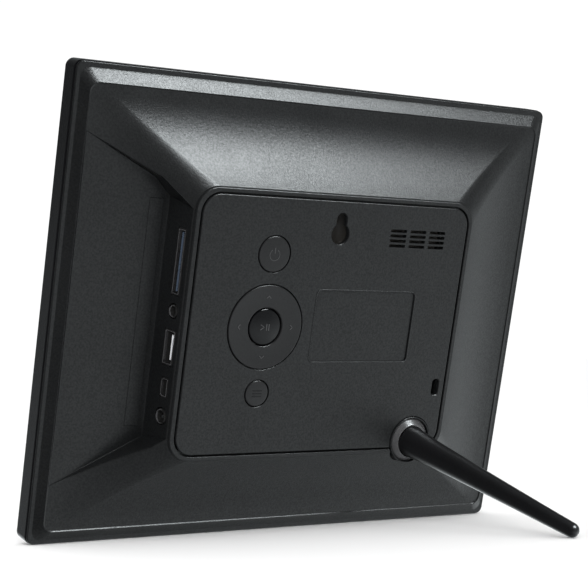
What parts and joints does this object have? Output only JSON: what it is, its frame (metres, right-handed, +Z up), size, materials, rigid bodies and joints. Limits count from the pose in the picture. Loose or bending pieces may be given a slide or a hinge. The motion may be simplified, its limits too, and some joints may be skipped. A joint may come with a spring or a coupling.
{
  "type": "digital photo frame",
  "caption": "Digital photo frame with a hollow-ground rear housing, side port trough, rear keypad and a screw-in peg leg.",
  "frame": {"origin": "centre of the bounding box at the surface the frame stands on", "axes": "display faces -Y and leans back towards +Y, +X is the display's right-hand side seen from the front, +Z up"},
  "size_m": [0.22, 0.106, 0.1768],
  "materials": {
    "housing_plastic": "fine satin texture",
    "bezel_plastic": "gloss",
    "key_plastic": "satin",
    "gloss_key_plastic": "semi-gloss",
    "panel_glass": "anti-glare gloss",
    "diffuser_white": "matt",
    "circuit_board": "solder resist",
    "chip_epoxy": "matt",
    "ribbon_film": "satin",
    "tongue_white": "satin",
    "satin_metal": "satin",
    "brass": "machined",
    "leg_plastic": "satin",
    "speaker_paper": "matt",
    "spring_rubber": "matt",
    "capacitor_can": "satin",
    "steel": "plated",
    "dark_plastic": "matt"
  },
  "bodies": {
    "casing": {"front_bezel": "bezel_plastic", "lcd_panel": "panel_glass", "light_guide": "diffuser_white", "lcd_tray": "steel", "lcd_bracket_left": "steel", "lcd_bracket_right": "steel", "bracket_screw_1": "steel", "bracket_screw_2": "steel", "bracket_screw_3": "steel", "bracket_screw_4": "steel", "rear_housing": "housing_plastic", "rear_cover": "housing_plastic", "tact_switch_power": "dark_plastic", "tact_switch_select": "dark_plastic", "tact_switch_menu": "dark_plastic", "tact_switch_left": "dark_plastic", "tact_switch_right": "dark_plastic", "tact_switch_up": "dark_plastic", "tact_switch_down": "dark_plastic", "main_board": "circuit_board", "main_board_screw_1": "steel", "main_board_screw_2": "steel", "main_board_screw_3": "steel", "main_board_screw_4": "steel", "key_board": "circuit_board", "key_board_screw_1": "steel", "key_board_screw_2": "steel", "processor_chip": "chip_epoxy", "memory_chip": "chip_epoxy", "smoothing_capacitor": "capacitor_can", "power_inductor": "chip_epoxy", "ribbon_socket": "dark_plastic", "lcd_ribbon": "ribbon_film", "card_socket": "steel", "card_contacts": "dark_plastic", "usb_socket": "steel", "usb_tongue": "tongue_white", "mini_usb_socket": "steel", "mini_usb_tongue": "dark_plastic", "headphone_jack": "dark_plastic", "power_jack": "dark_plastic", "power_jack_pin": "steel", "speaker_basket": "dark_plastic", "speaker_cone": "speaker_paper", "speaker_magnet": "steel", "keyhole_cup": "dark_plastic", "lock_plate": "steel", "leg_socket": "housing_plastic", "leg_ferrule": "satin_metal", "threaded_insert": "brass", "socket_screw_1": "steel", "socket_screw_2": "steel"},
    "power_button": {"power_key": "key_plastic"},
    "select_button": {"select_key": "gloss_key_plastic"},
    "menu_button": {"menu_key": "key_plastic"},
    "nav_gimbal_ring": {"nav_gimbal": "spring_rubber"},
    "nav_rocker": {"nav_ring": "key_plastic"},
    "leg": {"support_leg": "leg_plastic", "leg_stud": "steel"}
  },
  "joints": [
    {"name": "power_key_press", "type": "slide", "parent": "casing", "child": "power_button", "axis": [0, -0.972, 0.2351], "range_m": [0, 0.0005], "stiffness_N_per_m": 1500, "springref_m": -0.0003},
    {"name": "select_key_press", "type": "slide", "parent": "casing", "child": "select_button", "axis": [0, -0.972, 0.2351], "range_m": [0, 0.0005], "stiffness_N_per_m": 1500, "springref_m": -0.0003},
    {"name": "menu_key_press", "type": "slide", "parent": "casing", "child": "menu_button", "axis": [0, -0.972, 0.2351], "range_m": [0, 0.0005], "stiffness_N_per_m": 1500, "springref_m": -0.0003},
    {"name": "nav_rock_up_down", "type": "hinge", "parent": "casing", "child": "nav_gimbal_ring", "pos_m": [0.0283, -0.0103, 0.08217], "axis": [1, 0, 0], "range_deg": [-1.5, 1.5], "stiffness_Nm_per_rad": 0.7},
    {"name": "nav_rock_left_right", "type": "hinge", "parent": "nav_gimbal_ring", "child": "nav_rocker", "pos_m": [0.0283, -0.0103, 0.08217], "axis": [0, 0.2351, 0.972], "range_deg": [-1.5, 1.5], "stiffness_Nm_per_rad": 0.7},
    {"name": "leg_unscrew", "type": "slide", "parent": "casing", "child": "leg", "axis": [-0.3426, 0.8462, -0.4082], "range_m": [0, 0.018]}
  ]
}
